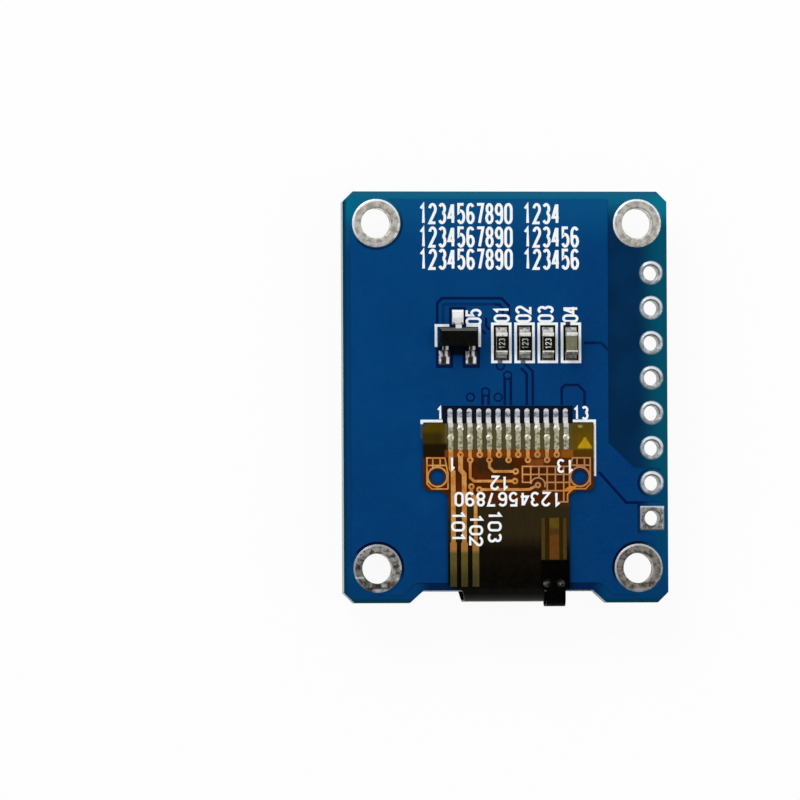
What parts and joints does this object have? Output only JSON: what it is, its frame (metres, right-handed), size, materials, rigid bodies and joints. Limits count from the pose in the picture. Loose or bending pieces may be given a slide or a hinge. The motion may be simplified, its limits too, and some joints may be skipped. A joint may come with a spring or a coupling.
{
  "type": "ips tft lcd module",
  "caption": "Flat colour display bonded to a drilled carrier board, with a folded flexible circuit soldered to the back and a column of header holes.",
  "frame": {"origin": "centre of the mounting-hole pattern, on the display's front face that the module lies on", "axes": "+X across the board towards the header column, +Y along the board away from the flexible circuit's fold, +Z out of the component face"},
  "size_m": [0.0236, 0.0301, 0.0044],
  "materials": {
    "board": "blue solder mask over glass-fibre laminate, satin",
    "masked_copper": "blue solder mask over copper, satin gloss",
    "tinned_pad": "hot-tinned copper, mottled",
    "solder": "bright solder",
    "legend": "white printed ink",
    "ceramic": "white alumina",
    "glaze": "black glaze",
    "end_cap": "tinned end caps",
    "capacitor": "tan ceramic",
    "moulding": "black moulded epoxy",
    "lead": "tinned lead",
    "film": "dark amber film",
    "film_copper": "copper seen through amber film",
    "tail": "black film",
    "polarizer": "near-black film, semi-gloss",
    "glass": "thin display glass",
    "driver": "bare silicon",
    "rim_tape": "black tape",
    "white_frame": "white moulded plastic",
    "clear_film": "clear optical film",
    "reflector": "silver-white film",
    "lamp": "phosphor lamp",
    "mount_tape": "white double-sided tape"
  },
  "bodies": {
    "root": {"printed_board": "board", "back_copper": "masked_copper", "mounting_pads": "tinned_pad", "header_pads": "tinned_pad", "flex_lands": "tinned_pad", "component_lands": "tinned_pad", "legend_print": "legend", "resistor_1_chip": "ceramic", "resistor_1_coat": "glaze", "resistor_1_caps": "end_cap", "resistor_2_chip": "ceramic", "resistor_2_coat": "glaze", "resistor_2_caps": "end_cap", "resistor_3_chip": "ceramic", "resistor_3_coat": "glaze", "resistor_3_caps": "end_cap", "capacitor_chip": "capacitor", "capacitor_caps": "end_cap", "chip_solder": "solder", "transistor_body": "moulding", "transistor_leads": "lead", "transistor_solder": "solder", "flex_film": "film", "flex_copper": "film_copper", "flex_fingers": "tinned_pad", "flex_solder": "solder", "backlight_tail": "tail", "tail_solder": "solder", "front_polarizer": "polarizer", "front_glass": "glass", "rear_glass": "glass", "driver_chip": "driver", "rear_polarizer": "polarizer", "rim_tape": "rim_tape", "backlight_frame": "white_frame", "prism_film_1": "clear_film", "prism_film_2": "clear_film", "diffuser_film": "clear_film", "light_guide": "clear_film", "reflector": "reflector", "backlight_leds": "lamp", "mounting_tape": "mount_tape"}
  },
  "joints": []
}
